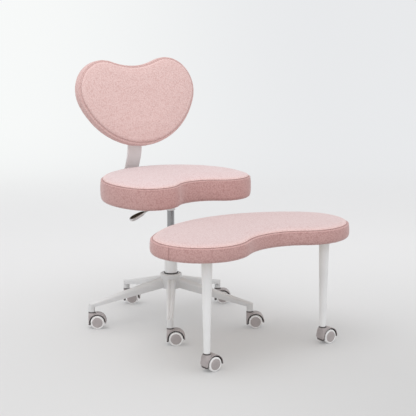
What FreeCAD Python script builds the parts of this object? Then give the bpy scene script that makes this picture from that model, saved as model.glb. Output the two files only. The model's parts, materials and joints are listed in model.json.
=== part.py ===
"""Cross-legged office chair: a swivel seat on a five-armed base, with a kneeling bench that swings round it.

Millimetres, +Z up, origin on the floor under the column, front of the chair towards -Y.
The sitter's right hand, with the height lever, is towards -X.
"""
import FreeCAD, Part
import math
import os
from types import SimpleNamespace

import Sketcher
from FreeCAD import Placement, Rotation, Vector

SIZES = (
    # Star base
    ("stem_circle", 322, "radius of the ring of base caster stems"),
    ("arm_heading", -126.4, "direction of the first arm, degrees from +X"),
    ("arm_root_top", 190, "height of an arm's top at the hub"),
    ("arm_root_depth", 42, "depth of an arm at the hub"),
    ("arm_root_width", 38, "width of an arm at the hub"),
    ("arm_tip_top", 100, "height of an arm's top at its tip"),
    ("arm_tip_depth", 16, "depth of an arm at its tip"),
    ("arm_tip_width", 25, "width of an arm at its tip"),
    ("arm_wall", 4, "wall of the hollow arm"),
    ("hub_radius", 43, "outer radius of the hub"),
    ("hub_low", 138, "underside of the hub"),
    ("hub_high", 195, "top of the hub"),
    ("hub_draft", 3, "taper of the hub's side over its height"),
    ("hub_round", 4, "rounding of the hub's rim"),
    ("pocket_radius", 4.6, "radius of the pockets in the hub's top"),
    ("pocket_deep", 8, "depth of the pockets in the hub's top"),
    ("rib_first", 78, "distance of an arm's first rib from the column"),
    ("rib_pitch", 50, "spacing of the ribs under an arm"),
    ("rib_thick", 3, "thickness of a rib under an arm"),
    ("boss_radius", 12.5, "radius of the stem boss at an arm's tip"),
    # Casters
    ("stem_seat", 66, "top of a caster housing"),
    ("stem_radius", 5.5, "radius of a caster stem"),
    ("stem_sink", 22, "depth of a stem in its housing"),
    ("stem_rise", 24, "depth of a stem in its boss or leg"),
    ("swivel_gap", 0.5, "gap between a housing and what it carries"),
    ("trail", 22, "distance of a caster's axle from its stem"),
    ("wheel_radius", 26.5, "radius of a wheel over its tread"),
    ("wheel_width", 15.5, "width of a wheel"),
    ("disc_radius", 20.8, "radius of the plain disc inside the tread"),
    ("well_radius", 30.3, "inner radius of the hood over a wheel"),
    ("hood_radius", 34, "outer radius of the hood"),
    ("hood_half", 21, "half the width of the hood"),
    ("web_half", 5.8, "half the thickness of the web between the wheels"),
    ("web_radius", 13, "radius of the web round the axle"),
    ("rib_tall", 34, "height of the rib that joins the web to the hood"),
    ("axle_radius", 4, "radius of a caster axle"),
    ("axle_reach", 11.5, "length of an axle inside each wheel"),
    ("wheel_gap", 0.4, "gap between a wheel and the web"),
    ("bore_deep", 12.5, "depth of a wheel's bore"),
    ("groove_deep", 1.6, "depth of the groove round a wheel's disc"),
    ("cap_rise", 0.8, "rise of the middle of a wheel's disc"),
    ("tread_round", 3.6, "rounding of a tread's outer edge"),
    # Column
    ("tube_radius", 25, "outer radius of the column tube"),
    ("tube_wall", 2, "wall of the column tube"),
    ("tube_high", 368, "top of the column tube"),
    ("gas_radius", 14, "outer radius of the gas cylinder"),
    ("gas_low", 185, "lower end of the gas cylinder"),
    ("gas_high", 472, "upper end of the gas cylinder"),
    ("rod_radius", 5, "radius of the piston rod"),
    ("piston_low", 284, "underside of the piston"),
    ("running", 0.05, "radial gap of a running fit"),
    ("taper", 1.5, "taper of the tube's foot in the hub"),
    ("floor_thick", 4, "thickness of the tube's floor"),
    ("ring_wide", 2.8, "width of the ring on top of the hub"),
    ("ring_high", 4, "height of the ring on top of the hub"),
    ("guide_length", 68, "length of the guide bush in the tube"),
    ("guide_flange", 3, "height of the guide bush above the tube"),
    ("bearing_radius", 18, "radius of the thrust bearing's washers"),
    ("washer_thick", 3, "thickness of the thrust bearing's washers"),
    ("bearing_high", 10, "height of the thrust bearing"),
    ("stop_ring_high", 11.7, "height of the ring that carries the swing collar"),
    # Seat mechanism
    ("socket_radius", 17.5, "outer radius of the seat socket"),
    ("socket_low", 447, "lower end of the seat socket"),
    ("plate_thick", 4, "thickness of the pressed plates"),
    ("plate_length", 190, "length of the seat plate across the seat"),
    ("plate_width", 180, "width of the seat plate"),
    ("box_length", 68, "length of the box under the seat plate"),
    ("box_width", 56, "width of the box under the seat plate"),
    ("box_low", 466, "underside of the box under the seat plate"),
    ("box_wall", 2.5, "wall of the box under the seat plate"),
    ("box_end", -45, "lever end of the box under the seat plate"),
    ("lever_pin_radius", 2.5, "radius of the lever's pivot pin"),
    ("eye_radius", 7, "radius of the lever's eye"),
    ("eye_width", 9, "width of the lever's eye"),
    ("grip_length", 68, "length of the lever's grip"),
    ("grip_socket", 30, "depth of the rod in the grip"),
    ("pivot_x", -33, "place of the lever pivot across the seat"),
    ("pivot_z", 482, "height of the lever pivot"),
    ("lever_slope", 18.5, "fall of the lever outside the box, degrees"),
    ("lever_radius", 3.5, "radius of the lever rod"),
    ("grip_reach", 188, "distance of the lever's tip from the column"),
    ("pin_radius", 4, "radius of the release pin"),
    # Seat cushion
    ("seat_half", 288, "reach of the seat's lobes to each side"),
    ("seat_back", 253, "rear edge of the seat behind the column"),
    ("seat_front", 221, "reach of the seat's front lobes"),
    ("seat_notch", 155, "reach of the seat's front at its middle"),
    ("seat_lobe", 120, "radius of the seat's lobes"),
    ("seat_under", 497.5, "underside of the seat"),
    ("seat_side", 82, "height of the seat's side up to its seam"),
    ("seat_crown", 14, "rise of the seat above its seam"),
    # Back cushion
    ("back_half", 276, "reach of the back's lobes to each side"),
    ("back_low", 172, "reach of the back below its centre"),
    ("back_high", 180, "reach of the back's lobes above its centre"),
    ("back_notch", 152, "reach of the back's top at its middle"),
    ("back_lobe", 127, "radius of the back's lobes"),
    ("back_side", 40, "depth of the back's side up to its seam"),
    ("back_crown", 10, "swell of the back in front of its seam"),
    ("back_y", 215, "centre of the back behind the column"),
    ("back_z", 847, "height of the back's centre"),
    ("back_tilt", 14.5, "recline of the back, degrees"),
    ("bar_width", 68, "width of the flat back bar"),
    ("bar_thick", 6, "thickness of the back bar"),
    ("bar_foot_y", 100, "place of the bar's front end under the seat"),
    ("bar_rear_y", 305, "corner of the bar behind the seat"),
    ("bar_waist_y", 251, "place of the bar's bend above the seat"),
    ("bar_waist_z", 632, "height of the bar's bend above the seat"),
    ("bar_knee", 42, "start of the bar's run along the back, below the back's centre"),
    ("bar_top", 88, "end of the bar above the back's centre"),
    ("bar_corner_round", 42, "radius of the bar's corner behind the seat"),
    ("bar_bend_round", 150, "radius of the bar's bends above the seat"),
    # Bench cushion
    ("bench_half", 410, "reach of the bench's lobes to each side"),
    ("bench_near", 226, "distance of the bench's rear edge from the column"),
    ("bench_far", 683, "reach of the bench's lobes"),
    ("bench_notch", 609, "reach of the bench's front at its middle"),
    ("bench_lobe", 180, "radius of the bench's lobes"),
    ("bench_under", 400.5, "underside of the bench"),
    ("bench_side", 53, "height of the bench's side up to its seam"),
    ("bench_crown", 10.5, "rise of the bench above its seam"),
    ("board_inset", 30, "distance of a board's edge from its cushion's edge"),
    ("board_thick", 12, "thickness of the plywood boards"),
    # Swing arm and legs
    ("collar_radius", 32, "outer radius of the swing collar"),
    ("collar_low", 306, "underside of the swing collar"),
    ("collar_high", 358, "top of the swing collar"),
    ("bush_wall", 3, "wall of the collar's bush"),
    ("arm_wide", 50, "width of the swing arm's tube"),
    ("arm_tall", 24, "height of the swing arm's tube"),
    ("arm_reach", 428, "reach of the swing arm under the bench"),
    ("arm_round", 90, "radius of the swing arm's bends"),
    ("bench_plate_length", 190, "length of the plate on the swing arm"),
    ("bench_plate_width", 160, "width of the plate on the swing arm"),
    ("leg_x", 270, "place of a bench leg beside the middle"),
    ("leg_y", 588, "place of a bench leg in front of the column"),
    ("leg_top_radius", 19.5, "radius of a bench leg at the bench"),
    ("leg_low_radius", 11.5, "radius of a bench leg at its caster"),
    ("leg_wall", 2, "wall of a bench leg"),
    ("stud_radius", 5, "radius of the stud on top of a bench leg"),
    # Fasteners
    ("bolt_radius", 3, "radius of a bolt's shank"),
    ("bolt_head", 6, "radius of a bolt's head"),
    ("head_high", 4, "height of a bolt's head"),
    ("plate_grip", 12, "length of a bolt through a plate"),
    ("bar_grip", 14, "length of a bolt through the back bar"),
)

ARM_COUNT = 5
RIB_COUNT = 4
BASE_TRAIL_HEADING = -35.5
BENCH_TRAIL_HEADING = 0
UP = Vector(0, 0, 1)
ALONG_X = Vector(1, 0, 0)
ALONG_Y = Vector(0, 1, 0)

doc = FreeCAD.newDocument("CrossLeggedChair")
nodes = []


class Dim:
    """A size of the sheet: its value, and the expression that binds a property to it."""

    def __init__(self, value, text):
        self.value = value
        self.text = text

    def joined(self, sign, other, value):
        right = other.text if isinstance(other, Dim) else repr(other)
        return Dim(value, f"({self.text} {sign} {right})")

    def __add__(self, other):
        return self.joined("+", other, self.value + number(other))

    def __sub__(self, other):
        return self.joined("-", other, self.value - number(other))

    def __mul__(self, factor):
        return self.joined("*", factor, self.value * number(factor))

    def __neg__(self):
        return Dim(-self.value, f"(-{self.text})")

    __radd__ = __add__
    __rmul__ = __mul__


def number(value):
    """The plain number of a size."""
    return value.value if isinstance(value, Dim) else value


def make_sheet():
    """The sheet of driving sizes, and the same sizes by name."""
    sheet = doc.addObject("Spreadsheet::Sheet", "Sizes")
    for row, (alias, value, meaning) in enumerate(SIZES, 1):
        sheet.set(f"A{row}", meaning)
        sheet.set(f"B{row}", str(value))
        sheet.setAlias(f"B{row}", alias)
    doc.recompute()
    return SimpleNamespace(**{alias: Dim(sheet.get(alias), f"Sizes.{alias}") for alias, _, _ in SIZES})


size = make_sheet()


# Helpers that make and place the document's objects


def bind(obj, name, value):
    """Set a property, by expression where the value is a size of the sheet."""
    if isinstance(value, Dim):
        obj.setExpression(name, value.text)
    else:
        setattr(obj, name, value)


def place(obj, at=(0, 0, 0), turn=None):
    """Put an object at a point, bound to the sheet where the point is."""
    obj.Placement = Placement(Vector(*[number(part) for part in at]), turn or Rotation())
    for axis, part in zip("xyz", at):
        if isinstance(part, Dim):
            obj.setExpression(f"Placement.Base.{axis}", part.text)
    return obj


def node(label, obj):
    """Name an object as one sub-part of the chair."""
    obj.Label = label
    nodes.append(obj)
    return obj


def box(name, sides, at):
    """A block from its lowest corner."""
    obj = doc.addObject("Part::Box", name)
    for prop, side in zip(("Length", "Width", "Height"), sides):
        bind(obj, prop, side)
    return place(obj, at)


def cylinder(name, radius, height, at=(0, 0, 0), turn=None):
    """A round bar from the centre of its lower face."""
    obj = doc.addObject("Part::Cylinder", name)
    bind(obj, "Radius", radius)
    bind(obj, "Height", height)
    return place(obj, at, turn)


def fuse(name, *shapes):
    obj = doc.addObject("Part::MultiFuse", name)
    obj.Shapes = list(shapes)
    obj.Refine = True
    return obj


def cut(name, base, *tools):
    obj = doc.addObject("Part::Cut", name)
    obj.Base = base
    obj.Tool = tools[0] if len(tools) == 1 else fuse(name + "Tools", *tools)
    obj.Refine = True
    return obj


def common(name, *shapes):
    obj = doc.addObject("Part::MultiCommon", name)
    obj.Shapes = list(shapes)
    return obj


def formed(name, shape, placement=None):
    """A piece whose form is a loft or a bent sweep."""
    obj = doc.addObject("Part::Feature", name)
    obj.Shape = shape
    obj.Placement = placement or Placement()
    return obj


def arc_between(start, end, radius):
    """Arc from start to end: its centre is on the left of the way, or on the right for a negative radius."""
    chord = end - start
    left = Vector(-chord.y, chord.x, 0).normalize()
    offset = math.sqrt(radius**2 - (chord.Length / 2) ** 2)
    centre = (start + end) * 0.5 + left * math.copysign(offset, radius)
    first, last = (start, end) if radius > 0 else (end, start)
    angles = [math.atan2(point.y - centre.y, point.x - centre.x) for point in (first, last)]
    return Part.ArcOfCircle(Part.Circle(centre, UP, abs(radius)), *angles)


def outline(body, name, role, corners):
    """Closed sketch through corners (across, up), or (across, up, radius) where an arc leaves the corner."""
    sketch = body.newObject("Sketcher::SketchObject", name)
    plane = next(part for part in body.Origin.OriginFeatures if part.Role == role)
    sketch.AttachmentSupport = (plane, [""])
    sketch.MapMode = "FlatFace"
    points = [Vector(number(corner[0]), number(corner[1]), 0) for corner in corners]
    ends = []
    for index, corner in enumerate(corners):
        start, end = points[index], points[(index + 1) % len(points)]
        radius = number(corner[2]) if len(corner) > 2 else 0
        sketch.addGeometry(arc_between(start, end, radius) if radius else Part.LineSegment(start, end), False)
        ends.append((2, 1) if radius < 0 else (1, 2))
    for index in range(len(corners)):
        after = (index + 1) % len(corners)
        sketch.addConstraint(Sketcher.Constraint("Coincident", index, ends[index][1], after, ends[after][0]))
    for index, corner in enumerate(corners):
        for axis, kind, value in ((-2, "DistanceX", corner[0]), (-1, "DistanceY", corner[1])):
            if number(value) == 0:
                sketch.addConstraint(Sketcher.Constraint("PointOnObject", index, ends[index][0], axis))
            else:
                constraint = Sketcher.Constraint(kind, -1, 1, index, ends[index][0], number(value))
                bind_constraint(sketch, f"{kind}{index}", constraint, value)
        if len(corner) > 2:
            constraint = Sketcher.Constraint("Radius", index, abs(number(corner[2])))
            bind_constraint(sketch, f"Radius{index}", constraint, None)
    return sketch


def bind_constraint(sketch, name, constraint, value):
    sketch.renameConstraint(sketch.addConstraint(constraint), name)
    if isinstance(value, Dim):
        sketch.setExpression(f"Constraints.{name}", value.text)


def turned(name, corners):
    """A piece turned about Z from its half section, corners (radius, height)."""
    body = doc.addObject("PartDesign::Body", name)
    sketch = outline(body, name + "Section", "XZ_Plane", corners)
    turn = body.newObject("PartDesign::Revolution", name + "Turn")
    turn.Profile = sketch
    turn.ReferenceAxis = (sketch, ["V_Axis"])
    turn.Angle = 360
    doc.recompute()
    return body


def rounded(body, radius, chosen):
    """Round the edges of a turned body that the test picks."""
    tip = body.Tip
    names = [f"Edge{i}" for i, edge in enumerate(tip.Shape.Edges, 1) if chosen(edge)]
    fillet = body.newObject("PartDesign::Fillet", f"{body.Name}Round{len(body.Group)}")
    fillet.Base = (tip, names)
    fillet.Radius = radius
    doc.recompute()
    return body


def circle_edge(radius, height):
    """Test for a full circle of this radius round Z at this height."""
    def test(edge):
        if edge.Degenerated or not isinstance(edge.Curve, Part.Circle):
            return False
        curve = edge.Curve
        return abs(curve.Radius - number(radius)) < 0.01 and abs(curve.Center.z - number(height)) < 0.01
    return test


def linked(name, source, placement):
    """One more of a piece that is already drawn."""
    obj = doc.addObject("App::Link", name)
    obj.LinkedObject = source
    obj.Placement = placement
    return obj


def group(label, source, placements):
    """Like fasteners as one node of separate solids."""
    obj = doc.addObject("Part::Compound", label)
    obj.Links = [linked(f"{label}_{i}", source, placement) for i, placement in enumerate(placements, 1)]
    return node(label, obj)


def rounded_path(points, radii):
    """Wire through points, with a tangent arc of the given radius at each inner point."""
    edges = []
    start = points[0]
    for before, corner, after, radius in zip(points, points[1:], points[2:], radii):
        back = (before - corner).normalize()
        ahead = (after - corner).normalize()
        half = back.getAngle(ahead) / 2
        reach = radius / math.tan(half)
        middle = corner + (back + ahead).normalize() * (radius / math.sin(half) - radius)
        edges.append(Part.LineSegment(start, corner + back * reach).toShape())
        edges.append(Part.Arc(corner + back * reach, middle, corner + ahead * reach).toShape())
        start = corner + ahead * reach
    edges.append(Part.LineSegment(start, points[-1]).toShape())
    return Part.Wire(edges)


def rounded_rectangle(centre, across, up, width, height, radius):
    """Wire of a rectangle with rounded corners in the plane of two directions."""
    def at(right, top):
        return centre + across * right + up * top

    inner = (width / 2 - radius, height / 2 - radius)
    reach = radius * math.sqrt(0.5)
    edges = []
    signs = ((1, 1), (-1, 1), (-1, -1), (1, -1))
    for index, (right, top) in enumerate(signs):
        hub = (right * inner[0], top * inner[1])
        side = at(hub[0] + right * radius, hub[1])
        cap = at(hub[0], hub[1] + top * radius)
        first, last = (side, cap) if right * top > 0 else (cap, side)
        edges.append(Part.Arc(first, at(hub[0] + right * reach, hub[1] + top * reach), last).toShape())
        next_right, next_top = signs[(index + 1) % len(signs)]
        next_hub = (next_right * inner[0], next_top * inner[1])
        if right * top > 0:
            onward = at(next_hub[0], next_hub[1] + next_top * radius)
        else:
            onward = at(next_hub[0] + next_right * radius, next_hub[1])
        if (onward - last).Length > 1e-6:
            edges.append(Part.LineSegment(last, onward).toShape())
    return Part.Wire(edges)


def swept(path, section):
    return Part.Wire(path).makePipeShell([section], True, False)


# Casters


def caster_housing():
    """Hood over both wheels, the web between them, and the boss that turns on the stem."""
    length = size.hood_half * 2
    across = Rotation(ALONG_X, -90)
    axle = (size.trail, -size.hood_half, size.wheel_radius)
    hood = cylinder("HoodRound", size.hood_radius, length, axle, across)
    upper_at = (size.trail - size.hood_radius, -size.hood_half, size.wheel_radius - 3)
    upper = box("HoodUpper", (size.hood_radius * 2, length, size.hood_radius + 3), upper_at)
    shell = common("HoodShell", hood, upper)
    nose = turned("HousingNose", (
        (0, size.wheel_radius - 12),
        (size.hood_half - 4, size.wheel_radius - 12),
        (size.hood_half, size.wheel_radius - 6),
        (size.hood_half, size.wheel_radius + 16, 40),
        (size.boss_radius, size.stem_seat),
        (0, size.stem_seat),
    ))
    front_at = (size.trail - size.hood_radius - 0.5, -size.hood_half, 0)
    front = box("NoseFront", (size.hood_radius, length, size.stem_seat), front_at)
    boss = common("StemBoss", nose, front)
    web_at = (size.trail, -size.web_half, size.wheel_radius)
    web = cylinder("AxleWeb", size.web_radius, size.web_half * 2, web_at, across)
    rib_at = (size.trail - size.hood_radius + 2, -size.web_half, size.wheel_radius - 8)
    rib = box("WebRib", (size.hood_radius + size.trail, size.web_half * 2, size.rib_tall), rib_at)
    body = fuse("HousingBody", shell, boss, web, common("WebTrim", rib, hood))
    wells = []
    for side, start in (("Near", -size.hood_half - 1), ("Far", size.web_half)):
        reach = size.hood_half - size.web_half + 1
        well_at = (size.trail, start, size.wheel_radius)
        wells.append(cylinder(f"Well{side}", size.well_radius, reach, well_at, across))
    bore = cylinder("StemBore", size.stem_radius + size.running, size.stem_sink,
                    (0, 0, size.stem_seat - size.stem_sink))
    hole = cylinder("AxleHole", size.axle_radius, length, axle, across)
    return cut("CasterHousing", body, *wells, bore, hole)


def caster_axle():
    half = size.web_half + size.axle_reach
    return turned("CasterAxle", ((0, -half), (size.axle_radius, -half), (size.axle_radius, half), (0, half)))


def caster_wheel():
    """Wheel with a rounded tread, a groove round its disc and a raised middle; its inner face is at zero."""
    bore = size.axle_radius + size.running
    face = size.wheel_width
    body = turned("CasterWheel", (
        (bore, 0),
        (size.wheel_radius, 0),
        (size.wheel_radius, face),
        (size.disc_radius + 1, face),
        (size.disc_radius + 0.4, face - size.groove_deep),
        (size.disc_radius - 0.4, face - size.groove_deep),
        (size.disc_radius - 1, face),
        (size.disc_radius - 7, face + size.cap_rise),
        (0, face + size.cap_rise),
        (0, size.bore_deep),
        (bore, size.bore_deep),
    ))
    rounded(body, number(size.tread_round), circle_edge(size.wheel_radius, face))
    return rounded(body, 2, circle_edge(size.wheel_radius, 0))


def caster_stem():
    """Plain stem with a chamfered tip; zero is the top of the housing."""
    foot = -size.stem_sink + 0.3
    top = size.swivel_gap + size.stem_rise
    return turned("CasterStem", (
        (0, foot),
        (size.stem_radius, foot),
        (size.stem_radius, top - 2),
        (size.stem_radius - 1.5, top),
        (0, top),
    ))


def add_caster(label, stem, heading, housing, axle, wheel):
    """Link the pieces of one caster under a stem, with its wheels trailing along the heading."""
    seat = Placement(stem, Rotation(UP, heading))
    centre = Vector(number(size.trail), 0, number(size.wheel_radius))
    gap = number(size.web_half) + number(size.wheel_gap)
    node(f"{label}_housing", linked(f"{label}_housing", housing, seat))
    across = Placement(centre, Rotation(ALONG_X, 90))
    node(f"{label}_axle", linked(f"{label}_axle", axle, seat.multiply(across)))
    for side, sign in (("near", -1), ("far", 1)):
        spot = Placement(centre + ALONG_Y * (sign * gap), Rotation(ALONG_X, -90 * sign))
        node(f"{label}_wheel_{side}", linked(f"{label}_wheel_{side}", wheel, seat.multiply(spot)))


def build_casters():
    housing = caster_housing()
    axle = caster_axle()
    wheel = caster_wheel()
    stem = caster_stem()
    lift = UP * number(size.stem_seat)
    base_spots = [arm_turn(index).multVec(ALONG_X * number(size.stem_circle)) for index in range(ARM_COUNT)]
    leg_spots = [Vector(sign * number(size.leg_x), -number(size.leg_y), 0) for sign in (-1, 1)]
    group("base_caster_stems", stem, [Placement(spot + lift, Rotation()) for spot in base_spots])
    group("bench_caster_stems", stem, [Placement(spot + lift, Rotation()) for spot in leg_spots])
    for index, spot in enumerate(base_spots, 1):
        add_caster(f"caster_{index}", spot, BASE_TRAIL_HEADING, housing, axle, wheel)
    for side, spot in zip(("right", "left"), leg_spots):
        add_caster(f"bench_caster_{side}", spot, BENCH_TRAIL_HEADING, housing, axle, wheel)


# Star base and column


def arm_turn(index):
    return Rotation(UP, number(size.arm_heading) + 360 / ARM_COUNT * index)


def arm_section(reach, inset, drop=0):
    """Section of an arm at a reach along +X: flat sides, round shoulders, a groove on top."""
    share = reach / number(size.stem_circle)

    def between(root, tip):
        return number(root) + (number(tip) - number(root)) * share

    half = between(size.arm_root_width, size.arm_tip_width) / 2 - inset
    top = between(size.arm_root_top, size.arm_tip_top) - inset
    depth = between(size.arm_root_depth, size.arm_tip_depth)
    low = between(size.arm_root_top, size.arm_tip_top) - depth - drop
    shoulder = min(0.42 * depth, 0.8 * half)
    groove = 0.34 * half
    dip = 0.16 * half
    bulge = 0.72

    def at(across, up):
        return Vector(reach, across, up)

    def shoulder_arc(sign):
        middle = at(sign * (groove + (half - groove) * bulge), top - shoulder * (1 - bulge))
        return Part.Arc(at(sign * half, top - shoulder), middle, at(sign * groove, top)).toShape()

    edges = [
        Part.LineSegment(at(-half, low), at(half, low)).toShape(),
        Part.LineSegment(at(half, low), at(half, top - shoulder)).toShape(),
        shoulder_arc(1),
        Part.Arc(at(groove, top), at(0, top - dip), at(-groove, top)).toShape(),
        shoulder_arc(-1),
        Part.LineSegment(at(-half, top - shoulder), at(-half, low)).toShape(),
    ]
    return Part.Wire(Part.__sortEdges__(edges))


def star_arm():
    """One hollow arm along +X, with cross ribs under it and a stem boss at its tip."""
    tip = number(size.stem_circle)
    wall = number(size.arm_wall)
    boss_radius = number(size.boss_radius)
    seat = number(size.stem_seat) + number(size.swivel_gap)
    inside_hub = number(size.hub_radius) / 2
    hollow_start = number(size.hub_radius) + 5
    hollow_end = tip - 2 * boss_radius - 1
    skin = Part.makeLoft([arm_section(inside_hub, 0), arm_section(tip, 0)], True, True)
    hollow = Part.makeLoft([arm_section(hollow_start, wall, 2), arm_section(hollow_end, wall, 2)], True, True)
    arm = skin.cut(hollow)
    thick = number(size.rib_thick)
    broad = 2 * number(size.arm_root_width)
    for index in range(RIB_COUNT):
        reach = number(size.rib_first) + index * number(size.rib_pitch)
        slab = Part.makeBox(thick, broad, number(size.arm_root_top), Vector(reach, -broad / 2, 0))
        filled = Part.makeLoft([arm_section(reach - 5, 1, 1.5), arm_section(reach + 8, 1, 1.5)], True, True)
        arm = arm.fuse(filled.common(slab))
    high = number(size.arm_tip_top) - 1.5
    boss = Part.makeCylinder(boss_radius, high - seat, Vector(tip, 0, seat))
    boss = boss.makeFillet(2, [edge for edge in boss.Edges if abs(edge.BoundBox.ZMin - high) < 0.01
                               and edge.BoundBox.ZLength < 0.01])
    socket = Part.makeCylinder(number(size.stem_radius), number(size.stem_rise), Vector(tip, 0, seat))
    return arm.fuse(boss).cut(socket)


def star_base():
    """Five arms round a hub with a tapered bore and a ring of pockets in its top."""
    low = number(size.hub_low)
    high = number(size.hub_high)
    radius = number(size.hub_radius)
    bore = number(size.tube_radius)
    taper = bore - number(size.taper)
    hub = Part.makeCone(radius - number(size.hub_draft), radius, high - low, Vector(0, 0, low))
    rim = [edge for edge in hub.Edges if edge.BoundBox.ZLength < 0.01 and edge.BoundBox.ZMin > high - 0.01]
    hub = hub.makeFillet(number(size.hub_round), rim)
    arm = star_arm()
    for index in range(ARM_COUNT):
        piece = arm.copy()
        piece.Placement = Placement(Vector(), arm_turn(index))
        hub = hub.fuse(piece)
    hub = hub.cut(Part.makeCone(taper, bore, high - low, Vector(0, 0, low)))
    pocket_ring = 0.5 * (bore + radius) + 0.5
    for index in range(2 * ARM_COUNT):
        spot = arm_turn(index / 2 + 0.25).multVec(ALONG_X * pocket_ring)
        floor = spot + UP * (high - number(size.pocket_deep))
        hub = hub.cut(Part.makeCylinder(number(size.pocket_radius), high, floor))
    return node("star_base", formed("StarBase", hub.removeSplitter()))


def build_column():
    """Outer tube wedged in the hub, the bush that guides the gas cylinder, and the rod it rides on."""
    low = size.hub_low
    floor = low + size.floor_thick
    inner = size.tube_radius - size.tube_wall
    rod_hole = size.rod_radius + 0.2
    node("column_tube", turned("ColumnTube", (
        (rod_hole, low),
        (size.tube_radius - size.taper, low),
        (size.tube_radius, size.hub_high),
        (size.tube_radius, size.tube_high),
        (inner, size.tube_high),
        (inner, size.hub_high),
        (inner - size.taper, floor),
        (rod_hole, floor),
    )))
    node("column_ring", turned("ColumnRing", (
        (size.tube_radius, size.hub_high),
        (size.tube_radius + size.ring_wide, size.hub_high),
        (size.tube_radius + size.ring_wide, size.hub_high + size.ring_high - 1),
        (size.tube_radius + size.ring_wide - 1, size.hub_high + size.ring_high),
        (size.tube_radius, size.hub_high + size.ring_high),
    )))
    node("guide_bush", turned("GuideBush", (
        (size.gas_radius + size.running, size.tube_high - size.guide_length),
        (inner, size.tube_high - size.guide_length),
        (inner, size.tube_high),
        (size.tube_radius - 1, size.tube_high),
        (size.tube_radius - 1, size.tube_high + size.guide_flange - 1),
        (size.tube_radius - 2, size.tube_high + size.guide_flange),
        (size.gas_radius + size.running, size.tube_high + size.guide_flange),
    )))
    race = size.bearing_radius - 1.5
    bearing_top = floor + size.bearing_high
    node("thrust_bearing", turned("ThrustBearing", (
        (size.rod_radius + 0.4, floor),
        (size.bearing_radius, floor),
        (size.bearing_radius, floor + size.washer_thick),
        (race, floor + size.washer_thick + 1),
        (race, bearing_top - size.washer_thick - 1),
        (size.bearing_radius, bearing_top - size.washer_thick),
        (size.bearing_radius, bearing_top),
        (size.rod_radius + 0.4, bearing_top),
    )))
    node("piston_rod", turned("PistonRod", (
        (0, low - 6),
        (size.rod_radius, low - 6),
        (size.rod_radius, bearing_top + 0.3),
        (size.rod_radius + 4, bearing_top + 0.3),
        (size.rod_radius + 4, bearing_top + 4),
        (size.rod_radius, bearing_top + 4),
        (size.rod_radius, size.piston_low),
        (size.gas_radius - 2.1, size.piston_low),
        (size.gas_radius - 2.1, size.piston_low + 16),
        (0, size.piston_low + 16),
    )))
    node("retaining_clip", turned("RetainingClip", (
        (size.rod_radius, low - 3),
        (size.rod_radius + 5, low - 3),
        (size.rod_radius + 5, low - 1),
        (size.rod_radius, low - 1),
    )))
    stop_high = size.collar_low - 3.3
    stop_low = stop_high - size.stop_ring_high
    node("collar_stop_ring", turned("CollarStopRing", (
        (size.tube_radius, stop_low),
        (size.collar_radius - 2, stop_low),
        (size.collar_radius - 1, stop_low + 1),
        (size.collar_radius - 1, stop_high - 1),
        (size.collar_radius - 2, stop_high),
        (size.tube_radius, stop_high),
    )))


# Seat mechanism, lever and back bar


def build_gas_cylinder():
    wall = 2
    pin_bore = size.pin_radius + size.running
    node("gas_cylinder", turned("GasCylinder", (
        (size.rod_radius + size.running, size.gas_low),
        (size.gas_radius - 1, size.gas_low),
        (size.gas_radius, size.gas_low + 1),
        (size.gas_radius, size.gas_high - 1),
        (size.gas_radius - 1, size.gas_high),
        (pin_bore, size.gas_high),
        (pin_bore, size.gas_high - 26),
        (0, size.gas_high - 26),
        (0, size.gas_high - 32),
        (size.gas_radius - wall, size.gas_high - 32),
        (size.gas_radius - wall, size.gas_low + 15),
        (size.rod_radius + size.running, size.gas_low + 15),
    )))
    pin_low = size.gas_high - 21
    pin_top = size.pivot_z - size.lever_radius - 0.3
    node("release_pin", turned("ReleasePin", (
        (0, pin_low),
        (size.pin_radius, pin_low),
        (size.pin_radius, pin_top - 1),
        (size.pin_radius - 1, pin_top),
        (0, pin_top),
    )))


def seat_bolt_spots():
    return [(sign_x * 78, y) for sign_x in (-1, 1) for y in (-78, 68)]


def build_seat_plate():
    """Pressed plate with a shallow box under it, and the socket that sits on the gas cylinder."""
    plate_low = size.seat_under - size.plate_thick
    plate_at = (size.plate_length * -0.5, size.plate_length * -0.5, plate_low)
    plate = box("SeatPlateTop", (size.plate_length, size.plate_width, size.plate_thick), plate_at)
    wall = size.box_wall
    tall = plate_low - size.box_low
    side = size.box_width * -0.5
    outer = box("BoxOuter", (size.box_length, size.box_width, tall), (size.box_end, side, size.box_low))
    inner = box("BoxInner", (size.box_length - wall * 2, size.box_width - wall * 2, tall - wall),
                (size.box_end + wall, side + wall, size.box_low + wall))
    socket_long = size.gas_high - size.socket_low + 2
    socket = cylinder("SeatSocket", size.socket_radius, socket_long, (0, 0, size.socket_low))
    body = fuse("SeatPlateBody", plate, cut("BoxShell", outer, inner), socket)
    bore = cylinder("SocketBore", size.gas_radius, socket_long, (0, 0, size.socket_low))
    slot_wide = size.lever_radius * 2 + 4
    slot_tall = size.lever_radius * 2 + 10
    slot_at = (size.box_end - 1, slot_wide * -0.5, size.pivot_z - 11)
    slot = box("LeverSlot", (wall + 1.5, slot_wide, slot_tall), slot_at)
    across = Rotation(ALONG_X, -90)
    pin_at = (size.pivot_x, side, size.pivot_z)
    pin = cylinder("PinHole", size.lever_pin_radius, size.box_width, pin_at, across)
    holes = [cylinder(f"SeatPlateHole{i}", size.bolt_radius, size.plate_thick, (x, y, plate_low))
             for i, (x, y) in enumerate(seat_bolt_spots(), 1)]
    node("seat_plate", cut("SeatPlate", body, bore, slot, pin, *holes))
    node("lever_pin", cylinder("LeverPin", size.lever_pin_radius, size.box_width, pin_at, across))


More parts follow.
